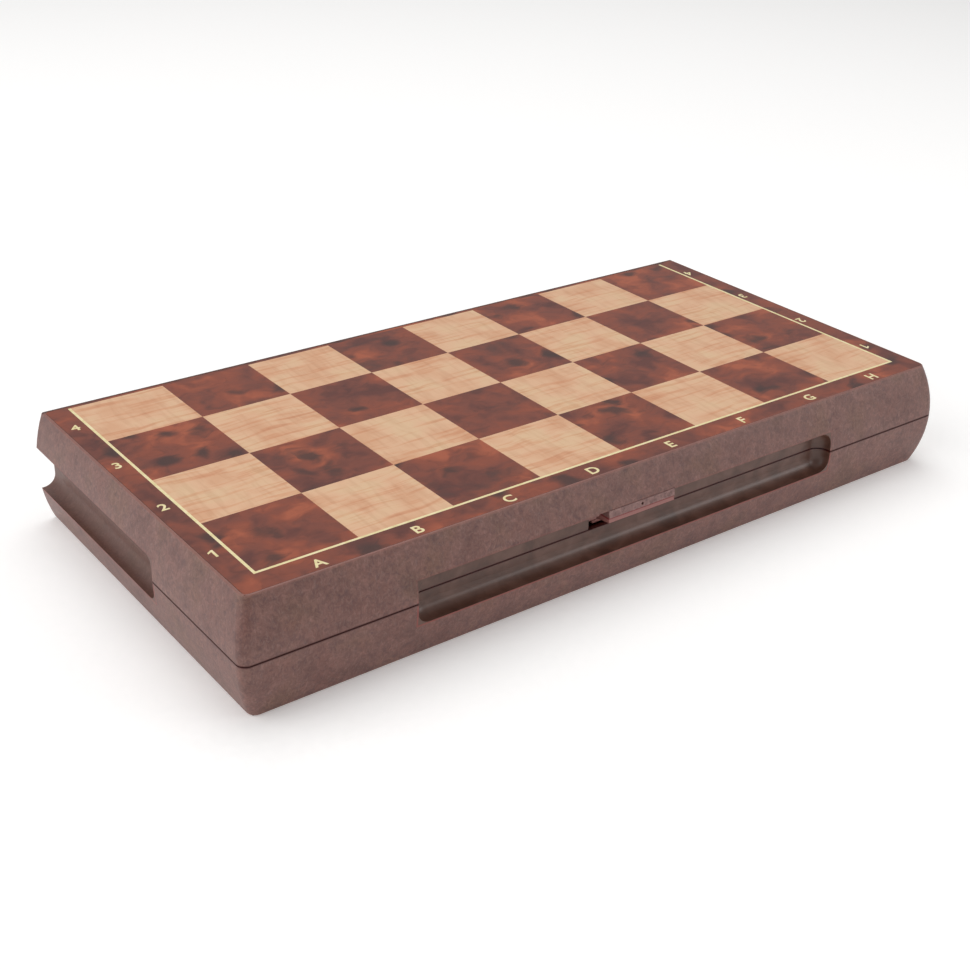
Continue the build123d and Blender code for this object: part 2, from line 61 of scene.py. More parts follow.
# ---- camera ----------------------------------------------------------------------------
# A short telephoto stands in front of file A, above the closed case, and looks
# down across it. It leans by two degrees, and its back is shifted a little.
SIDE, DOWN, LEAN = radians(-39.11), radians(26.18), radians(1.98)
lens = bpy.data.cameras.new("product_camera")
lens.sensor_width = 36
lens.lens = 55.39
lens.shift_x = -0.0745
lens.shift_y = -0.0390
camera = bpy.data.objects.new("product_camera", lens)
bpy.context.scene.collection.objects.link(camera)
backward = Vector((sin(SIDE) * cos(DOWN), -cos(SIDE) * cos(DOWN), sin(DOWN)))
camera.rotation_euler = backward.to_track_quat("Z", "Y").to_euler()
camera.rotation_euler.rotate_axis("Z", LEAN)
camera.location = (-0.3609, -0.4777, 0.3151)
bpy.context.scene.camera = camera


# ---- studio ----------------------------------------------------------------------------
# The case stands on a wide sheet of opal acrylic lit from below, so hardly a shadow
# falls. Soft boxes hang over the board, stand on its left, and light its front.
MM = 0.001
FLOOR_REACH = 9.0
FLOOR_DROP = 0.2 * MM
ROOM_LIGHT = 0.4


def linear(colour):
    """Linear RGBA of an sRGB hex colour."""
    parts = [int(colour[i:i + 2], 16) / 255 for i in (1, 3, 5)]
    return [c / 12.92 if c <= 0.04045 else ((c + 0.055) / 1.055) ** 2.4 for c in parts] + [1.0]


def add(tree, kind, inputs=None, stops=(), **settings):
    """Adds one node: its settings, its inputs (values, or what is joined to them), its colours."""
    node = tree.nodes.new("ShaderNode" + kind)
    for name, value in settings.items():
        setattr(node, name, value)
    for name, value in (inputs or {}).items():
        if isinstance(value, bpy.types.Node):
            value = value.outputs[0]
        if isinstance(value, bpy.types.NodeSocket):
            tree.links.new(value, node.inputs[name])
        else:
            node.inputs[name].default_value = linear(value) if isinstance(value, str) else value
    for number, (place, colour) in enumerate(stops):
        ramp = node.color_ramp.elements
        stop = ramp[number] if number < 2 else ramp.new(place)
        stop.position = place
        stop.color = linear(colour)
    return node


def blank(name):
    """New material, its empty tree, and the place on the piece that its patterns follow."""
    material = bpy.data.materials.new(name)
    material.use_nodes = True
    tree = material.node_tree
    tree.nodes.clear()
    return material, tree, add(tree, "TexCoord").outputs["Object"]


def opal_acrylic():
    """Opal acrylic, cast and matted: white and lit through, its faint grain stops reflections."""
    material, tree, place = blank("opal_acrylic_cast_and_matted")
    grain = add(tree, "TexNoise", {"Vector": place, "Scale": 1 / (3 * MM), "Detail": 3.0})
    tone = add(tree, "ValToRGB", {"Fac": grain}, [(0.3, "#F6F5F4"), (0.7, "#FBFAF9")])
    bump = add(tree, "Bump", {"Height": grain, "Strength": 0.05, "Distance": 0.1 * MM})
    sheet = add(tree, "BsdfPrincipled", {"Base Color": tone, "Roughness": 0.85, "Normal": bump,
                                         "Emission Color": "#FFFFFF", "Emission Strength": 0.16})
    add(tree, "OutputMaterial", {"Surface": sheet})
    return material


mesh = bpy.data.meshes.new("studio_floor")
corners = [(-1, -1), (1, -1), (1, 1), (-1, 1)]
mesh.from_pydata([(x * FLOOR_REACH, y * FLOOR_REACH, -FLOOR_DROP) for x, y in corners], [], [(0, 1, 2, 3)])
mesh.materials.append(opal_acrylic())
floor = bpy.data.objects.new("studio_floor", mesh)
bpy.context.scene.collection.objects.link(floor)
floor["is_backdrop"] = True

world = bpy.data.worlds.new("white_room")
world.use_nodes = True
walls = world.node_tree.nodes["Background"]
walls.inputs["Color"].default_value = linear("#FFFFFF")
walls.inputs["Strength"].default_value = ROOM_LIGHT
bpy.context.scene.world = world
bpy.context.scene.view_settings.view_transform = "Standard"

for name, place, width, height, power in (
    ("top_softbox", (0.3, 0.5, 1.9), 1.6, 1.6, 16.0),
    ("left_softbox", (-1.6, 0.3, 1.0), 2.2, 2.0, 20.0),
    ("right_softbox", (0.62, -0.72, 0.32), 0.7, 0.3, 1.9),
):
    light = bpy.data.lights.new(name, "AREA")
    light.shape = "RECTANGLE"
    light.size = width
    light.size_y = height
    light.energy = power
    softbox = bpy.data.objects.new(name, light)
    bpy.context.scene.collection.objects.link(softbox)
    softbox.location = place
    softbox.rotation_euler = Vector(place).to_track_quat("Z", "Y").to_euler()


# ---- case halves -----------------------------------------------------------------------
# Two shells moulded in brown plastic with wood flour in it, then film printed with a
# soft walnut mottle. The front grip keeps the bare skin, which is smoother and browner.
SEAM = (cad_low.z + cad_high.z) / 2
GRIP_RISE = 9.4 * MM
GRIP_DEPTH = 7.0 * MM
FRONT_GRIP_REACH = 109.0 * MM
SIDE_GRIP_LENGTH = 114.2 * MM
HINGE_RIM = 4.0 * MM
SKIN = 0.1 * MM


def dress(nodes, material):
    """Gives carried-over pieces their finish."""
    for node in nodes:
        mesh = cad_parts[node].data
        mesh.materials.clear()
        mesh.materials.append(material)


def walnut_mottle():
    """Wood-flour plastic, film printed: low mauve-brown clouds under fine pale hairs, satin."""
    material, tree, place = blank("wood_flour_plastic_moulded_and_film_printed")
    x, y, z = add(tree, "SeparateXYZ", {"Vector": place}).outputs
    aside = add(tree, "Math", {0: x}, operation="ABSOLUTE")
    level = add(tree, "Math", {0: z, 1: SEAM}, operation="SUBTRACT")
    rise = add(tree, "Math", {0: level}, operation="ABSOLUTE")

    # Gap to the finger grips, below zero on their walls.
    past_end = add(tree, "Math", {0: aside, 1: FRONT_GRIP_REACH + SKIN}, operation="SUBTRACT")
    past_back = add(tree, "Math", {0: y, 1: cad_low.y + GRIP_DEPTH + SKIN}, operation="SUBTRACT")
    front = add(tree, "Math", {0: past_end, 1: past_back}, operation="MAXIMUM")
    short = add(tree, "Math", {0: cad_high.y - SIDE_GRIP_LENGTH - SKIN, 1: y}, operation="SUBTRACT")
    deep = add(tree, "Math", {0: cad_high.x - GRIP_DEPTH - SKIN, 1: aside}, operation="SUBTRACT")
    side = add(tree, "Math", {0: short, 1: deep}, operation="MAXIMUM")
    nearest = add(tree, "Math", {0: front, 1: side}, operation="MINIMUM")
    above = add(tree, "Math", {0: rise, 1: GRIP_RISE + SKIN}, operation="SUBTRACT")
    gap = add(tree, "Math", {0: nearest, 1: above}, operation="MAXIMUM")

    # Clouds 22 mm and 9 mm across, leathery lumps of 2.2 mm, and hairs 0.9 mm wide, drawn
    # about twice as coarse as the flour really is so that they show.
    cloud = add(tree, "TexNoise", {"Vector": place, "Scale": 1 / (22 * MM), "Detail": 2.0})
    drift = add(tree, "TexNoise", {"Vector": place, "Scale": 1 / (9 * MM), "Detail": 3.0, "Distortion": 0.6})
    lumps = add(tree, "TexNoise", {"Vector": place, "Scale": 1 / (2.2 * MM), "Detail": 5.0,
                                   "Roughness": 0.68, "Distortion": 1.2})
    leaning = add(tree, "Mapping", {"Vector": place, "Rotation": (0.5, 0.7, 0.3), "Scale": (1.0, 1.0, 0.3)})
    hairs = add(tree, "TexNoise", {"Vector": leaning, "Scale": 1 / (0.9 * MM), "Detail": 3.0,
                                   "Roughness": 0.6, "Distortion": 1.5})
    base = add(tree, "ValToRGB", {"Fac": lumps}, [(0.30, "#5E3F3E"), (0.50, "#734E46"), (0.72, "#875F57")])
    tint = add(tree, "ValToRGB", {"Fac": cloud}, [(0.35, "#EFE6E4"), (0.5, "#FFFFFF"), (0.65, "#F2F4E2")])
    shade = add(tree, "ValToRGB", {"Fac": drift}, [(0.34, "#D8CFCE"), (0.5, "#FFFFFF"), (0.68, "#FFF4EE")])
    toned = add(tree, "MixRGB", {"Fac": 0.8, "Color1": base, "Color2": tint}, blend_type="MULTIPLY")
    clouded = add(tree, "MixRGB", {"Fac": 0.55, "Color1": toned, "Color2": shade}, blend_type="MULTIPLY")
    pale = add(tree, "ValToRGB", {"Fac": hairs}, [(0.50, "#000000"), (0.78, "#544944")])
    haired = add(tree, "MixRGB", {"Fac": 0.75, "Color1": clouded, "Color2": pale}, blend_type="SCREEN")

    # Bare brown skin shows in the front grip, and half through the film in the side grips,
    # which begin beyond it. A red flash line runs round each grip; on its lower lip it is painted stronger,
    # as a painted highlight of that edge.
    skin = add(tree, "ValToRGB", {"Fac": drift}, [(0.35, "#50352B"), (0.5, "#5C3E33"), (0.65, "#67483D")])
    ruddy = add(tree, "MixRGB", {"Fac": 0.55, "Color1": haired, "Color2": "#5C4036"})
    past_front_grip = (FRONT_GRIP_REACH + cad_high.x) / 2
    at_side = add(tree, "Math", {0: aside, 1: past_front_grip}, operation="GREATER_THAN")
    skins = add(tree, "MixRGB", {"Fac": at_side, "Color1": skin, "Color2": ruddy})
    bare = add(tree, "MapRange", {"Value": gap, "From Min": SKIN, "From Max": -SKIN})
    gripped = add(tree, "MixRGB", {"Fac": bare.outputs["Result"], "Color1": haired, "Color2": skins})
    lip = add(tree, "Math", {0: gap, 1: 0.3 * MM, 2: 0.35 * MM}, operation="COMPARE")
    # Stronger below the seam: on the lower lip the red line is also a painted highlight of the edge.
    lower_lip_highlight = add(tree, "MapRange", {"Value": level, "From Min": 2 * MM, "From Max": -2 * MM,
                                        "To Min": 0.15, "To Max": 0.7})
    lip_flash_and_highlight = add(tree, "Math", {0: lip, 1: lower_lip_highlight}, operation="MULTIPLY")
    flash_and_highlight_lipped = add(tree, "MixRGB", {"Fac": lip_flash_and_highlight, "Color1": gripped, "Color2": "#8A3E36"})

    # Dark red where the film ends at the seam. The paler outer rims are a painted highlight of their edges;
    # the hinge rim is painted dark.
    seam = add(tree, "MapRange", {"Value": rise, "From Min": 0.75 * MM, "From Max": 0.35 * MM,
                                  "To Max": 0.95})
    seamed = add(tree, "MixRGB", {"Fac": seam.outputs["Result"], "Color1": flash_and_highlight_lipped, "Color2": "#47150F"})
    edge = cad_high.z - SEAM
    rim = add(tree, "MapRange", {"Value": rise, "From Min": edge - 0.9 * MM, "From Max": edge, "To Max": 0.5})
    hinge_side = add(tree, "Math", {0: y, 1: cad_high.y - HINGE_RIM}, operation="GREATER_THAN")
    # Painted highlight on the outer rims, and a painted dark line along the hinge rim.
    painted_rim_highlight_and_hinge_line = add(tree, "MixRGB", {"Fac": hinge_side, "Color1": "#9A6A60", "Color2": "#2E1A17"})
    rim_highlighted = add(tree, "MixRGB", {"Fac": rim.outputs["Result"], "Color1": seamed, "Color2": painted_rim_highlight_and_hinge_line})

    smooth = add(tree, "Math", {0: bare.outputs["Result"], 1: at_side}, operation="SUBTRACT", use_clamp=True)
    gloss = add(tree, "MapRange", {"Value": smooth, "To Min": 0.46, "To Max": 0.34})
    depth = add(tree, "MapRange", {"Value": smooth, "To Min": 0.5, "To Max": 0.14})
    height = add(tree, "MixRGB", {"Fac": 0.4, "Color1": lumps, "Color2": hairs})
    bump = add(tree, "Bump", {"Height": height, "Strength": depth.outputs["Result"], "Distance": 0.25 * MM})
    plastic = add(tree, "BsdfPrincipled", {"Base Color": rim_highlighted, "Roughness": gloss.outputs["Result"],
                                           "IOR": 1.5, "Normal": bump})
    add(tree, "OutputMaterial", {"Surface": plastic})
    return material


dress(["lower_shell", "upper_shell"], walnut_mottle())


# ---- playing panels --------------------------------------------------------------------
# Each half carries a stiff fibreboard, film printed with burl and maple squares inside
# an ivory line, varnished, and dropped into a shallow seat over a steel sheet.
SQUARE = 41.0 * MM
RANK_ONE = cad_low.y + 17.3 * MM
FILE_A = -4 * SQUARE
HINGE_STRIP = 2.8 * MM
LINE = 1.2 * MM
INK = 0.03 * MM
FACE_Z = cad_high.z - 1.3 * INK  # leaves room for the ink under the case's height
BURL, MAPLE, IVORY, BORDER, BOARD = range(5)


def scattered(tree, place):
    """Place in the print, moved to another corner of it for every square."""
    cells = add(tree, "Mapping", {"Vector": place, "Scale": (1 / SQUARE,) * 3,
                                  "Location": (-FILE_A / SQUARE, -RANK_ONE / SQUARE, 0)})
    cell = add(tree, "VectorMath", {0: cells}, operation="FLOOR")
    pick = add(tree, "TexWhiteNoise", {"Vector": cell})
    leap = add(tree, "VectorMath", {0: pick.outputs["Color"], "Scale": 3.0}, operation="SCALE")
    return add(tree, "VectorMath", {0: place, 1: leap}, operation="ADD")


def burl_print(name, by_square):
    """Root burl print under satin varnish: warm clouds, feathered curls, smoky dark eyes."""
    material, tree, place = blank(name)
    if by_square:
        place = scattered(tree, place)
    warp = add(tree, "TexNoise", {"Vector": place, "Scale": 1 / (12 * MM), "Detail": 1.0})
    push = add(tree, "VectorMath", {0: warp.outputs["Color"], "Scale": 12 * MM}, operation="SCALE")
    bent = add(tree, "VectorMath", {0: place, 1: push}, operation="ADD")
    warm = add(tree, "TexNoise", {"Vector": bent, "Scale": 1 / (21 * MM), "Detail": 3.0, "Roughness": 0.55})
    base = add(tree, "ValToRGB", {"Fac": warm}, [(0.34, "#5F2D24"), (0.45, "#783C2C"), (0.56, "#89422B"),
                                                 (0.66, "#A45335")])

    # Curls about 4 mm apart, drawn out along the ranks.
    drawn = add(tree, "Mapping", {"Vector": bent, "Scale": (0.45, 1.0, 1.0)})
    curl = add(tree, "TexNoise", {"Vector": drawn, "Scale": 1 / (4.2 * MM), "Detail": 5.0, "Roughness": 0.6,
                                  "Distortion": 0.8})
    feather = add(tree, "ValToRGB", {"Fac": curl}, [(0.32, "#A8938E"), (0.5, "#FFFFFF"), (0.68, "#FFF0E4")])
    curled = add(tree, "MixRGB", {"Fac": 0.38, "Color1": base, "Color2": feather}, blend_type="MULTIPLY")

    # Eyes sit in some cells of a 15 mm net, each with a smoky edge.
    net = add(tree, "TexVoronoi", {"Vector": bent, "Scale": 1 / (15 * MM)}, feature="F1")
    chosen = add(tree, "SeparateColor", {"Color": net.outputs["Color"]})
    kept = add(tree, "Math", {0: chosen.outputs["Red"], 1: 0.6}, operation="LESS_THAN")
    ragged = add(tree, "Math", {0: curl, 1: 0.3, 2: net.outputs["Distance"]}, operation="MULTIPLY_ADD")
    eye = add(tree, "MapRange", {"Value": ragged, "From Min": 0.62, "From Max": 0.28, "To Max": 0.85},
              interpolation_type="SMOOTHSTEP")
    eyed = add(tree, "Math", {0: eye.outputs["Result"], 1: kept}, operation="MULTIPLY")
    knotted = add(tree, "MixRGB", {"Fac": eyed, "Color1": curled, "Color2": "#38211E"})
    smoke = add(tree, "TexNoise", {"Vector": drawn, "Scale": 1 / (16 * MM), "Detail": 4.0, "Roughness": 0.55})
    haze = add(tree, "MapRange", {"Value": smoke, "From Min": 0.56, "From Max": 0.74,
                                  "To Max": 0.6 if by_square else 0.3}, interpolation_type="SMOOTHSTEP")
    smoky = add(tree, "MixRGB", {"Fac": haze.outputs["Result"], "Color1": knotted, "Color2": "#472B27"})

    # Pores are 0.8 mm apart here, coarser than in the real varnish, so that they show.
    pores = add(tree, "TexNoise", {"Vector": place, "Scale": 1 / (0.8 * MM), "Detail": 3.0,
                                   "Roughness": 0.65})
    bump = add(tree, "Bump", {"Height": pores, "Strength": 0.1, "Distance": 0.06 * MM})
    varnish = add(tree, "BsdfPrincipled", {"Base Color": smoky, "Roughness": 0.36, "IOR": 1.5,
                                           "Normal": bump})
    add(tree, "OutputMaterial", {"Surface": varnish})
    return material


def maple_print():
    """Curly maple print under satin varnish: tan streaks along the ranks, a faint ripple across."""
    material, tree, place = blank("maple_film_printed_and_varnished")
    place = scattered(tree, place)
    warp = add(tree, "TexNoise", {"Vector": place, "Scale": 1 / (24 * MM), "Detail": 1.0})
    push = add(tree, "VectorMath", {0: warp.outputs["Color"], "Scale": 5 * MM}, operation="SCALE")
    bent = add(tree, "VectorMath", {0: place, 1: push}, operation="ADD")
    along = add(tree, "Mapping", {"Vector": bent, "Scale": (0.06, 1.0, 1.0)})
    across = add(tree, "Mapping", {"Vector": bent, "Scale": (1.0, 0.12, 1.0)})
    streak = add(tree, "TexNoise", {"Vector": along, "Scale": 1 / (2.4 * MM), "Detail": 4.0,
                                    "Roughness": 0.6})
    ripple = add(tree, "TexNoise", {"Vector": across, "Scale": 1 / (2.6 * MM), "Detail": 2.0})
    slow = add(tree, "TexNoise", {"Vector": place, "Scale": 1 / (18 * MM), "Detail": 2.0})
    base = add(tree, "ValToRGB", {"Fac": slow}, [(0.35, "#D8A681"), (0.5, "#DFB38F"), (0.65, "#DEB993")])
    tan = add(tree, "ValToRGB", {"Fac": streak}, [(0.50, "#FFFFFF"), (0.60, "#F2D4C2"), (0.72, "#D99F80")])
    streaked = add(tree, "MixRGB", {"Fac": 0.55, "Color1": base, "Color2": tan}, blend_type="MULTIPLY")
    wave = add(tree, "ValToRGB", {"Fac": ripple}, [(0.36, "#E2D2C6"), (0.52, "#FFFFFF"), (0.62, "#FFFFFF")])
    rippled = add(tree, "MixRGB", {"Fac": 0.28, "Color1": streaked, "Color2": wave}, blend_type="MULTIPLY")
    bump = add(tree, "Bump", {"Height": streak, "Strength": 0.08, "Distance": 0.06 * MM})
    varnish = add(tree, "BsdfPrincipled", {"Base Color": rippled, "Roughness": 0.36, "IOR": 1.5,
                                           "Normal": bump})
    add(tree, "OutputMaterial", {"Surface": varnish})
    return material


def ivory_ink():
    """Ivory ink, screen printed: nearly even, a little thinner in places."""
    material, tree, place = blank("ivory_ink_screen_printed")
    body = add(tree, "TexNoise", {"Vector": place, "Scale": 1 / (2.0 * MM), "Detail": 3.0})
    tone = add(tree, "ValToRGB", {"Fac": body}, [(0.3, "#E0CF98"), (0.5, "#EBDCA9"), (0.7, "#F1E4B9")])
    bump = add(tree, "Bump", {"Height": body, "Strength": 0.1, "Distance": 0.05 * MM})
    ink = add(tree, "BsdfPrincipled", {"Base Color": tone, "Roughness": 0.4, "IOR": 1.5, "Normal": bump})
    add(tree, "OutputMaterial", {"Surface": ink})
    return material


def fibreboard():
    """Brown fibreboard, sawn: short felted fibres along the cut."""
    material, tree, place = blank("fibreboard_sawn")
    flat = add(tree, "Mapping", {"Vector": place, "Scale": (1.0, 1.0, 4.0)})
    fibre = add(tree, "TexNoise", {"Vector": flat, "Scale": 1 / (0.8 * MM), "Detail": 4.0, "Roughness": 0.7})
    tone = add(tree, "ValToRGB", {"Fac": fibre}, [(0.3, "#3B2620"), (0.5, "#4E332A"), (0.7, "#634437")])
    bump = add(tree, "Bump", {"Height": fibre, "Strength": 0.4, "Distance": 0.2 * MM})
    board = add(tree, "BsdfPrincipled", {"Base Color": tone, "Roughness": 0.8, "Normal": bump})
    add(tree, "OutputMaterial", {"Surface": board})
    return material


def as_is(x, y, z):
    """A point of the upper half, as it is."""
    return Vector((x, y, z))


def turned_over(x, y, z):
    """The same point of the other half: half a turn about the long middle line of the case."""
    return Vector((-x, y, 2 * SEAM - z))


def printed_board(name, half, move, prints):
    """Board of one half, its face cut along the edges of the print."""
    low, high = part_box(half + "_playing_panel")
    back_z = cad_high.z - (high.z - low.z)
    xs = [low.x, FILE_A - LINE] + [FILE_A + n * SQUARE for n in range(9)] + [LINE - FILE_A, high.x]
    ys = [low.y, RANK_ONE - LINE] + [RANK_ONE + n * SQUARE for n in range(4)]
    ys += [RANK_ONE + 4 * SQUARE - HINGE_STRIP, high.y]
    last_x, last_y = len(xs) - 1, len(ys) - 1
    shape = bmesh.new()
    over = [[shape.verts.new(move(x, y, FACE_Z)) for y in ys] for x in xs]
    under = [[shape.verts.new(move(x, y, back_z)) for y in ys] for x in xs]
    for column in range(last_x):
        for row in range(last_y):
            ring = [(column, row), (column + 1, row), (column + 1, row + 1), (column, row + 1)]
            face = shape.faces.new([over[a][b] for a, b in ring])
            if column in (0, last_x - 1) or row in (0, last_y - 1):
                face.material_index = BORDER
            elif column in (1, last_x - 2) or row == 1:
                face.material_index = IVORY
            else:
                face.material_index = BURL if (column + row) % 2 == 0 else MAPLE
            shape.faces.new([under[a][b] for a, b in reversed(ring)]).material_index = BOARD
    rim = [(a, 0) for a in range(last_x)] + [(last_x, b) for b in range(last_y)]
    rim += [(a, last_y) for a in range(last_x, 0, -1)] + [(0, b) for b in range(last_y, 0, -1)]
    for (a, b), (c, d) in zip(rim, rim[1:] + rim[:1]):
        shape.faces.new([over[a][b], under[a][b], under[c][d], over[c][d]]).material_index = BOARD
    bmesh.ops.recalc_face_normals(shape, faces=shape.faces)
    mesh = bpy.data.meshes.new(name)
    shape.to_mesh(mesh)
    shape.free()
    for material in prints:
        mesh.materials.append(material)
    board = bpy.data.objects.new(name, mesh)
    bpy.context.scene.collection.objects.link(board)
    return board


prints = [
    burl_print("burl_film_printed_and_varnished", True),
    maple_print(),
    ivory_ink(),
    burl_print("burl_border_film_printed_and_varnished", False),
    fibreboard(),
]
for half, move in (("upper", as_is), ("lower", turned_over)):
    board = printed_board(half + "_printed_board", half, move, prints)
    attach(board, half + "_case")
    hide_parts(half + "_playing_panel")


# ---- letters and numbers ---------------------------------------------------------------
# The usual coordinates of a chess board, screen printed on the border in ivory ink.
# The numbers on the right stand on their heads, for whoever sits across.
SIGN_HEIGHT = 5.3 * MM
STROKE = 0.95 * MM
FLAG, FLAG_FALL = 1.5 * MM, 1.2 * MM
FONT_THICKNESS = 0.01
FONT_GROWTH = 0.022
LETTER_DROP = 7.3 * MM
NUMBER_DROP = 1.5 * MM
LEFT_NUMBER_GAP, RIGHT_NUMBER_GAP = 5.8 * MM, 4.4 * MM


def figure_one():
    """The figure one has a long flag, so it is drawn as a stem with the flag on its left."""
    stem, top = STROKE / 2, SIGN_HEIGHT / 2
    outline = [(stem, -top), (stem, top), (STROKE / 4 - stem, top), (-stem - FLAG, top - FLAG_FALL),
               (-stem - FLAG, top - FLAG_FALL - STROKE), (-stem, top - 1.3 * STROKE), (-stem, -top)]
    count = len(outline)
    points = [(x, y, up) for up in (False, True) for x, y in outline]
    sides = [(n, (n + 1) % count, count + (n + 1) % count, count + n) for n in range(count)]
    return points, [tuple(reversed(range(count))), tuple(range(count, 2 * count))] + sides


def sign_shape(sign):
    """Points and faces of one sign of ink, centred. A point is (x, y, on the face or not)."""
    if sign == "1":
        return figure_one()
    text = bpy.data.curves.new("sign", "FONT")
    text.body = sign
    text.extrude = FONT_THICKNESS
    text.offset = FONT_GROWTH
    holder = bpy.data.objects.new("sign", text)
    bpy.context.scene.collection.objects.link(holder)
    mesh = bpy.data.meshes.new_from_object(holder.evaluated_get(bpy.context.evaluated_depsgraph_get()))
    points = [v.co.copy() for v in mesh.vertices]
    faces = [tuple(p.vertices) for p in mesh.polygons]
    bpy.data.objects.remove(holder)
    bpy.data.curves.remove(text)
    bpy.data.meshes.remove(mesh)
    left, right = min(p.x for p in points), max(p.x for p in points)
    bottom, top = min(p.y for p in points), max(p.y for p in points)
    size = SIGN_HEIGHT / (top - bottom)
    shape = [((p.x - (left + right) / 2) * size, (p.y - (bottom + top) / 2) * size, p.z > 0) for p in points]
    return shape, faces


def printed_signs(name, letters, numbers, move, ink):
    """All the letters and numbers of one half, as one thin film of ink."""
    signs = [(s, FILE_A + (n + 0.5) * SQUARE, RANK_ONE - LETTER_DROP, 1) for n, s in enumerate(letters)]
    for n, sign in enumerate(numbers):
        y = RANK_ONE + (n + 0.5) * SQUARE - NUMBER_DROP
        signs.append((sign, FILE_A - LEFT_NUMBER_GAP, y, 1))
        signs.append((sign, RIGHT_NUMBER_GAP - FILE_A, y, -1))
    points, faces = [], []
    for sign, x, y, way in signs:
        shape, loops = sign_shape(sign)
        start = len(points)
        points += [move(x + way * a, y + way * b, FACE_Z + (INK if up else -INK)) for a, b, up in shape]
        faces += [[start + i for i in loop] for loop in loops]
    mesh = bpy.data.meshes.new(name)
    mesh.from_pydata(points, [], faces)
    mesh.materials.append(ink)
    film = bpy.data.objects.new(name, mesh)
    bpy.context.scene.collection.objects.link(film)
    return film


for half, letters, numbers, move in (
    ("upper", "ABCDEFGH", "1234", as_is),
    ("lower", "HGFEDCBA", "8765", turned_over),
):
    film = printed_signs(half + "_printed_coordinates", letters, numbers, move, prints[IVORY])
    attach(film, half + "_case")


# ---- latch -----------------------------------------------------------------------------
# One slider moulded in acetal: a tab in the slot of the upper half, sloping underneath
# for a fingertip, and a plate behind the wall. A guide strip and a keeper go with it.
TAB_FACE = 3.3 * MM


def acetal():
    """Pinkish brown acetal, moulded: smooth, clouded, with a painted highlight on the slope below the tab's
    red crease.
    """
    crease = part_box("latch_slider")[1].z - TAB_FACE
    material, tree, place = blank("acetal_moulded")
    patch = add(tree, "TexNoise", {"Vector": place, "Scale": 1 / (4 * MM), "Detail": 4.0, "Distortion": 0.8})
    speck = add(tree, "TexNoise", {"Vector": place, "Scale": 1 / (0.9 * MM), "Detail": 3.0, "Roughness": 0.7})
    base = add(tree, "ValToRGB", {"Fac": patch}, [(0.32, "#6F4E4A"), (0.5, "#83605B"), (0.68, "#92706A")])
    dots = add(tree, "ValToRGB", {"Fac": speck}, [(0.36, "#93827F"), (0.5, "#FFFFFF")])
    dotted = add(tree, "MixRGB", {"Fac": 0.5, "Color1": base, "Color2": dots}, blend_type="MULTIPLY")
    level = add(tree, "SeparateXYZ", {"Vector": place}).outputs["Z"]
    # The slope below the crease faces the light: its paler colour is a painted highlight.
    low = add(tree, "MapRange", {"Value": level, "From Min": crease, "From Max": crease - 0.2 * MM})
    slope_highlighted = add(tree, "MixRGB", {"Fac": low.outputs["Result"], "Color1": dotted, "Color2": "#95625C"})
    near = add(tree, "Math", {0: level, 1: crease - 0.15 * MM, 2: 0.35 * MM}, operation="COMPARE")
    creased = add(tree, "MixRGB", {"Fac": near, "Color1": slope_highlighted, "Color2": "#7A2E2E"})
    bump = add(tree, "Bump", {"Height": speck, "Strength": 0.2, "Distance": 0.1 * MM})
    plastic = add(tree, "BsdfPrincipled", {"Base Color": creased, "Roughness": 0.42, "IOR": 1.48,
                                           "Normal": bump})
    add(tree, "OutputMaterial", {"Surface": plastic})
    return material


dress(["latch_slider", "latch_guide", "latch_keeper"], acetal())


# ---- foam trays ------------------------------------------------------------------------
# Charcoal closed-cell foam, cut with a hot wire to one level and pressed into each
# shell. Every man has its own pocket.
def cut_foam():
    """Polyethylene foam, hot-wire cut: open cells pit the face, which stays matt."""
    material, tree, place = blank("polyethylene_foam_wire_cut")
    # Real cells are about half a millimetre across. They are drawn at 1.2 mm so that they show.
    cells = add(tree, "TexVoronoi", {"Vector": place, "Scale": 1 / (1.2 * MM)})
    walls = cells.outputs["Distance"]
    soft = add(tree, "TexNoise", {"Vector": place, "Scale": 1 / (20 * MM), "Detail": 2.0})
    tone = add(tree, "ValToRGB", {"Fac": walls}, [(0.0, "#3A3838"), (0.45, "#2D2B2B"), (0.9, "#201F1F")])
    dust = add(tree, "ValToRGB", {"Fac": soft}, [(0.3, "#DAD6D4"), (0.7, "#FFFFFF")])
    dusty = add(tree, "MixRGB", {"Fac": 1.0, "Color1": tone, "Color2": dust}, blend_type="MULTIPLY")
    bump = add(tree, "Bump", {"Height": walls, "Strength": 0.6, "Distance": 0.4 * MM}, invert=True)
    foam = add(tree, "BsdfPrincipled", {"Base Color": dusty, "Roughness": 0.92, "Sheen Weight": 0.15,
                                        "Normal": bump})
    add(tree, "OutputMaterial", {"Surface": foam})
    return material


dress(["lower_foam_tray", "upper_foam_tray"], cut_foam())


# ---- men -------------------------------------------------------------------------------
# Two armies moulded in ABS with a wood-like grain, pale as boxwood and dark as rosewood.
# The sixteen men of each lie in the tray of one half.
RANKS = ("king", "queen", "bishops", "knights", "rooks", "pawns")


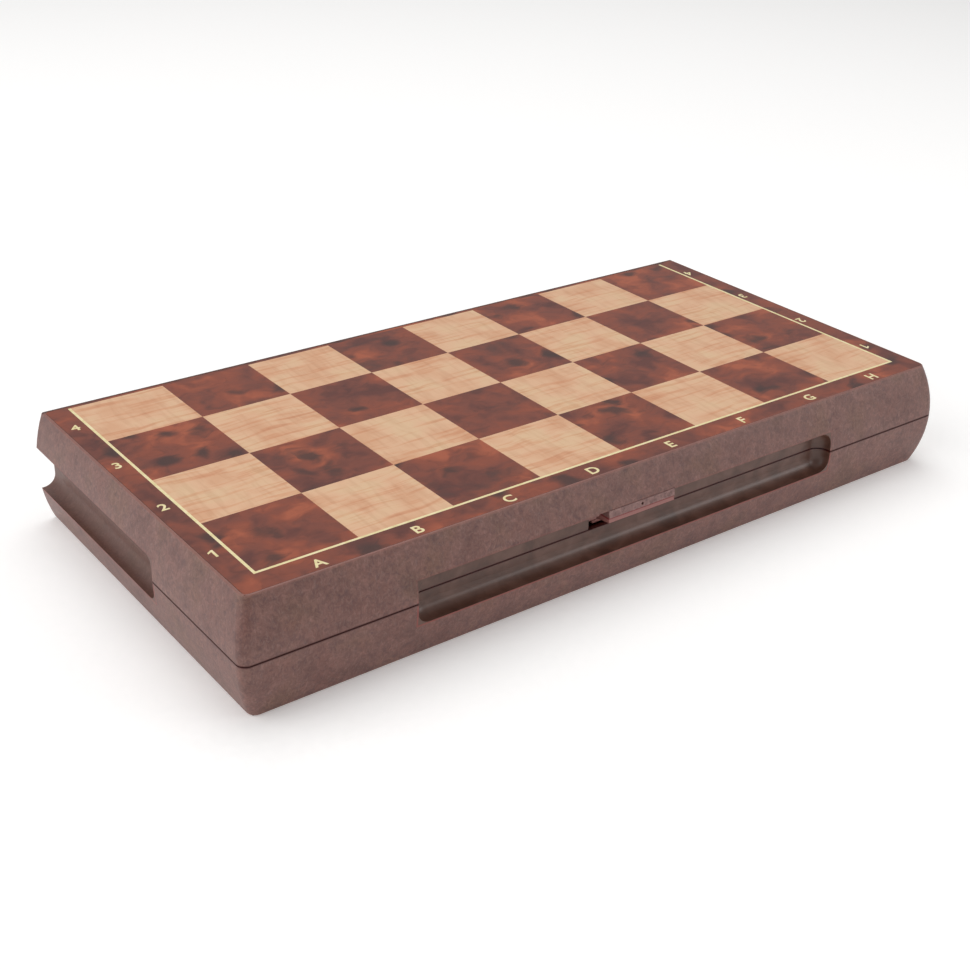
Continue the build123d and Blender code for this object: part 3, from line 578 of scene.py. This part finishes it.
def grained_abs(name, dark, middle, light, roughness):
    """ABS with swirled pigment, moulded and lacquered: grain along the man, satin lights."""
    material, tree, place = blank(name)
    along = add(tree, "Mapping", {"Vector": place, "Scale": (1.0, 0.1, 1.0)})
    grain = add(tree, "TexNoise", {"Vector": along, "Scale": 1 / (1.8 * MM), "Detail": 4.0,
                                   "Roughness": 0.6, "Distortion": 0.6})
    fine = add(tree, "TexNoise", {"Vector": along, "Scale": 1 / (0.5 * MM), "Detail": 3.0, "Roughness": 0.6})
    base = add(tree, "ValToRGB", {"Fac": grain}, [(0.32, dark), (0.5, middle), (0.68, light)])
    pores = add(tree, "ValToRGB", {"Fac": fine}, [(0.34, "#A89C94"), (0.5, "#FFFFFF")])
    pored = add(tree, "MixRGB", {"Fac": 0.35, "Color1": base, "Color2": pores}, blend_type="MULTIPLY")
    bump = add(tree, "Bump", {"Height": fine, "Strength": 0.12, "Distance": 0.1 * MM})
    plastic = add(tree, "BsdfPrincipled", {"Base Color": pored, "Roughness": roughness, "IOR": 1.52,
                                           "Normal": bump})
    add(tree, "OutputMaterial", {"Surface": plastic})
    return material


pale = grained_abs("pale_abs_moulded_and_lacquered", "#C9A06A", "#DDBA86", "#E9CC9E", 0.36)
dark = grained_abs("dark_abs_moulded_and_lacquered", "#2C1611", "#43231B", "#5C3328", 0.3)
dress(["light_" + rank for rank in RANKS], pale)
dress(["dark_" + rank for rank in RANKS], dark)


# ---- knights ---------------------------------------------------------------------------
# A horse's head with a clipped mane stands on a turned foot. It is moulded in one
# piece, with the eyes, the nostrils and the cuts of the mane in the mould.
KNIGHT_RADIUS = 12.0 * MM
FELT = 0.8 * MM
WELD = 0.02 * MM

# Head in mm. SPINE has points (x, z, half thickness) inside the neck, the muzzle and
# the ear. PROFILE goes round the side view: (x, z, the point of SPINE it belongs to).
SPINE = [
    (0.0, 9.0, 6.6), (0.0, 13.0, 6.2), (-0.8, 18.0, 5.7), (-1.4, 24.0, 5.3), (-0.8, 29.0, 5.1),
    (0.6, 33.0, 4.9), (3.6, 30.2, 4.3), (6.2, 27.2, 3.4), (0.8, 37.5, 4.1), (1.8, 41.0, 2.4),
    (2.8, 45.0, 1.0),
]
PROFILE = [
    (7.4, 9.0, 0), (7.0, 13.0, 1), (5.4, 17.5, 2), (3.6, 21.8, 3), (2.8, 25.0, 4), (3.4, 25.8, 5),
    (4.8, 24.2, 6), (7.2, 23.0, 7), (9.0, 24.4, 7), (9.5, 27.0, 7), (8.6, 29.8, 7), (7.0, 33.2, 6),
    (5.7, 36.6, 5), (4.7, 39.8, 8), (4.3, 42.8, 9), (3.2, 47.2, 10), (1.2, 43.8, 9), (-1.6, 42.8, 8),
    (-4.4, 39.4, 5), (-6.4, 34.2, 4), (-7.4, 27.0, 3), (-7.6, 19.0, 2), (-7.6, 13.0, 1), (-7.6, 9.0, 0),
]
# Cuts of the mane: how deep, how many, from where to where along PROFILE, and over
# how much of the way in to the spine.
MANE_CUT, MANE_CUTS, MANE_FROM, MANE_TO, MANE_WIDTH = 0.9, 9, 0.73, 0.94, 0.56
# Eye and nostril in mm: x, z, radius, and how far out from the head's middle plane.
BEADS = [(3.4, 35.2, 1.1, 4.6), (7.9, 27.0, 0.7, 2.9)]
# Turned foot in mm: radius and height, from the bore of the magnet out and up.
FOOT = [
    (0.0, 3.8), (5.05, 3.8), (5.05, 0.8), (11.7, 0.8), (12.0, 1.2), (12.0, 3.6), (11.5, 4.6), (10.4, 5.2),
    (10.2, 5.8), (10.6, 6.3), (10.5, 7.0), (9.6, 7.5), (9.1, 8.2), (9.1, 9.2), (8.6, 9.8), (0.0, 10.0),
]
# How finely the pieces of a knight are divided, how much closer the rows of a cheek lie
# near the profile, and the turn from face to face that shows as an edge.
AROUND_HEAD, ACROSS_HEAD, AROUND_FOOT, BEAD_UP, BEAD_ROUND = 240, 8, 64, 6, 12
CROWDING = 1.6
EDGE_TURN = radians(40)


def smooth_between(points, turn):
    """Point at a share of the way along a list, on a smooth curve through its points."""
    at = turn * (len(points) - 1)
    n = min(int(at), len(points) - 2)
    t = at - n
    before, here = points[max(n - 1, 0)], points[n]
    after, beyond = points[n + 1], points[min(n + 2, len(points) - 1)]
    place = []
    for p, q, r, w in zip(before, here, after, beyond):
        square, cube = 2 * p - 5 * q + 4 * r - w, 3 * q - p - 3 * r + w
        place.append((2 * q + (r - p) * t + square * t ** 2 + cube * t ** 3) / 2)
    return place


def spine_between(turn):
    """Point of the spine that belongs to a share of the way round the profile."""
    at = turn * (len(PROFILE) - 1)
    n = min(int(at), len(PROFILE) - 2)
    first, second = SPINE[PROFILE[n][2]], SPINE[PROFILE[n + 1][2]]
    return [p + (q - p) * (at - n) for p, q in zip(first, second)]


def grid_faces(start, rows, columns, closed):
    """Four-sided faces between rows of points that follow each other from a start."""
    ends = [(i, (i + 1) % rows) for i in range(rows if closed else rows - 1)]
    return [(start + i * columns + k, start + j * columns + k, start + j * columns + k + 1,
             start + i * columns + k + 1) for i, j in ends for k in range(columns - 1)]


def knight_head(side):
    """One cheek: rows of points that swell from the profile to the spine."""
    points = []
    for i in range(AROUND_HEAD):
        turn = i / (AROUND_HEAD - 1)
        x, z = smooth_between([row[:2] for row in PROFILE], turn)
        spine_x, spine_z, half = spine_between(turn)
        mane = max(0.0, min(1.0, (turn - MANE_FROM) / (MANE_TO - MANE_FROM)))
        cut = MANE_CUT * (1 - cos(mane * MANE_CUTS * 2 * pi)) / 2
        inward = cut / ((spine_x - x) ** 2 + (spine_z - z) ** 2) ** 0.5
        x, z = x + (spine_x - x) * inward, z + (spine_z - z) * inward
        for j in range(ACROSS_HEAD + 1):
            share = (j / ACROSS_HEAD) ** CROWDING
            swell = half * (1 - (1 - share) ** 2) ** 0.5
            swell -= cut * max(0.0, 1 - abs(share - MANE_WIDTH / 2) / (MANE_WIDTH / 2))
            points.append((x + (spine_x - x) * share, side * max(swell, 0.0), z + (spine_z - z) * share))
    return points


def knight_bead(x, z, radius, depth):
    """A round bead, half sunk in the cheek."""
    points = []
    for i in range(BEAD_UP + 1):
        for j in range(BEAD_ROUND + 1):
            up, out = pi * i / BEAD_UP, 2 * pi * j / BEAD_ROUND
            points.append((x + radius * sin(up) * cos(out), depth + radius * cos(up),
                           z + radius * sin(up) * sin(out)))
    return points


def knight_shape():
    """Points and faces of one upright knight, in metres, with its axis on Z."""
    points, faces = [], []
    for side in (1, -1):
        faces += grid_faces(len(points), AROUND_HEAD, ACROSS_HEAD + 1, False)
        points += knight_head(side)
    for x, z, radius, depth in BEADS:
        for side in (1, -1):
            faces += grid_faces(len(points), BEAD_UP + 1, BEAD_ROUND + 1, False)
            points += knight_bead(x, z, radius, side * depth)
    faces += grid_faces(len(points), AROUND_FOOT, len(FOOT), True)
    for i in range(AROUND_FOOT):
        angle = 2 * pi * i / AROUND_FOOT
        points += [(radius * cos(angle), radius * sin(angle), z) for radius, z in FOOT]
    return [(x * MM, y * MM, z * MM) for x, y, z in points], faces


for army, move, look in (("light", as_is, pale), ("dark", turned_over, dark)):
    low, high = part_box(army + "_knights")
    axis_z = (low.z + high.z) / 2 if army == "light" else 2 * SEAM - (low.z + high.z) / 2
    foot_y = high.y + FELT
    points, faces = [], []
    upright, loops = knight_shape()
    for edge in (low.x + KNIGHT_RADIUS, high.x - KNIGHT_RADIUS):
        axis_x = edge if army == "light" else -edge
        start = len(points)
        points += [move(axis_x + x, foot_y - z, axis_z + y) for x, y, z in upright]
        faces += [[start + i for i in loop] for loop in loops]
    mesh = bpy.data.meshes.new(army + "_carved_knights")
    mesh.from_pydata(points, [], faces)
    shape = bmesh.new()
    shape.from_mesh(mesh)
    bmesh.ops.remove_doubles(shape, verts=shape.verts, dist=WELD)
    bmesh.ops.recalc_face_normals(shape, faces=shape.faces)
    shape.to_mesh(mesh)
    shape.free()
    mesh.shade_smooth()
    mesh.set_sharp_from_angle(angle=EDGE_TURN)
    mesh.materials.append(look)
    knights = bpy.data.objects.new(army + "_carved_knights", mesh)
    bpy.context.scene.collection.objects.link(knights)
    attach(knights, "lower_case" if army == "light" else "upper_case")
    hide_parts(army + "_knights")


# ---- felts and magnets -----------------------------------------------------------------
# A ferrite disc is pressed into each foot and holds the man to the steel under the
# print. A green felt, stamped a little smaller than the foot, is glued over it.
def pressed_felt():
    """Wool felt, pressed: tangled fibres that soften every edge of light."""
    material, tree, place = blank("wool_felt_pressed")
    # Tufts of 0.5 mm stand for the single fibres, which are far too fine to show.
    fibres = add(tree, "TexNoise", {"Vector": place, "Scale": 1 / (0.5 * MM), "Detail": 5.0,
                                    "Roughness": 0.75, "Distortion": 1.5})
    tone = add(tree, "ValToRGB", {"Fac": fibres}, [(0.3, "#1E4A2E"), (0.5, "#2B633D"), (0.7, "#3C7B4E")])
    bump = add(tree, "Bump", {"Height": fibres, "Strength": 0.7, "Distance": 0.3 * MM})
    wool = add(tree, "BsdfPrincipled", {"Base Color": tone, "Roughness": 0.95, "Sheen Weight": 0.4,
                                        "Normal": bump})
    add(tree, "OutputMaterial", {"Surface": wool})
    return material


def ferrite():
    """Ferrite, sintered and ground: dark grey grit with a dull shine."""
    material, tree, place = blank("ferrite_sintered")
    # The grit is drawn at 0.4 mm, coarser than it is, so that it shows.
    grit = add(tree, "TexNoise", {"Vector": place, "Scale": 1 / (0.4 * MM), "Detail": 4.0, "Roughness": 0.7})
    tone = add(tree, "ValToRGB", {"Fac": grit}, [(0.3, "#2B2B2D"), (0.5, "#3A3A3C"), (0.7, "#4A4A4D")])
    bump = add(tree, "Bump", {"Height": grit, "Strength": 0.4, "Distance": 0.1 * MM})
    disc = add(tree, "BsdfPrincipled", {"Base Color": tone, "Roughness": 0.6, "IOR": 2.2, "Normal": bump})
    add(tree, "OutputMaterial", {"Surface": disc})
    return material


dress(["light_felt_pads", "dark_felt_pads"], pressed_felt())
dress(["light_magnets", "dark_magnets"], ferrite())


# ---- hinges, screws and steel sheets ---------------------------------------------------
# Two rolled brass-plated butt hinges in the rims, zinc-plated pins and screws, and a
# rolled mild steel sheet under each printed board.
def rolled_metal(name, dark, light, roughness, run):
    """Metal with the lines of the rolls in it: they spread the light to one side."""
    material, tree, place = blank(name)
    # Lines 0.5 mm apart are coarser than rolls leave them, so that they show.
    drawn = add(tree, "Mapping", {"Vector": place, "Scale": run})
    lines = add(tree, "TexNoise", {"Vector": drawn, "Scale": 1 / (0.5 * MM), "Detail": 4.0, "Roughness": 0.7})
    stain = add(tree, "TexNoise", {"Vector": place, "Scale": 1 / (6 * MM), "Detail": 3.0})
    base = add(tree, "ValToRGB", {"Fac": lines}, [(0.35, dark), (0.65, light)])
    worn = add(tree, "ValToRGB", {"Fac": stain}, [(0.35, "#C4BDB4"), (0.6, "#FFFFFF")])
    dulled = add(tree, "MixRGB", {"Fac": 0.6, "Color1": base, "Color2": worn}, blend_type="MULTIPLY")
    rough = add(tree, "MapRange", {"Value": lines, "To Min": roughness - 0.08, "To Max": roughness + 0.1})
    bump = add(tree, "Bump", {"Height": lines, "Strength": 0.15, "Distance": 0.05 * MM})
    metal = add(tree, "BsdfPrincipled", {"Base Color": dulled, "Metallic": 1.0, "Normal": bump,
                                         "Roughness": rough.outputs["Result"]})
    add(tree, "OutputMaterial", {"Surface": metal})
    return material


brass = rolled_metal("brass_plate_rolled", "#B58E4A", "#D9B56C", 0.3, (0.08, 1.0, 1.0))
zinc = rolled_metal("zinc_plate_turned", "#A9A7A0", "#CFCDC6", 0.32, (1.0, 1.0, 1.0))
steel = rolled_metal("mild_steel_rolled", "#8D8E90", "#A8AAAC", 0.38, (0.05, 1.0, 1.0))
dress(["lower_hinge_leaves", "upper_hinge_leaves"], brass)
dress(["hinge_pins", "lower_hinge_screws", "upper_hinge_screws", "keeper_screws", "latch_guide_screws"], zinc)
dress(["lower_steel_sheet", "upper_steel_sheet"], steel)


# ---- closing lines ---------------------------------------------------------------------
low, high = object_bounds()
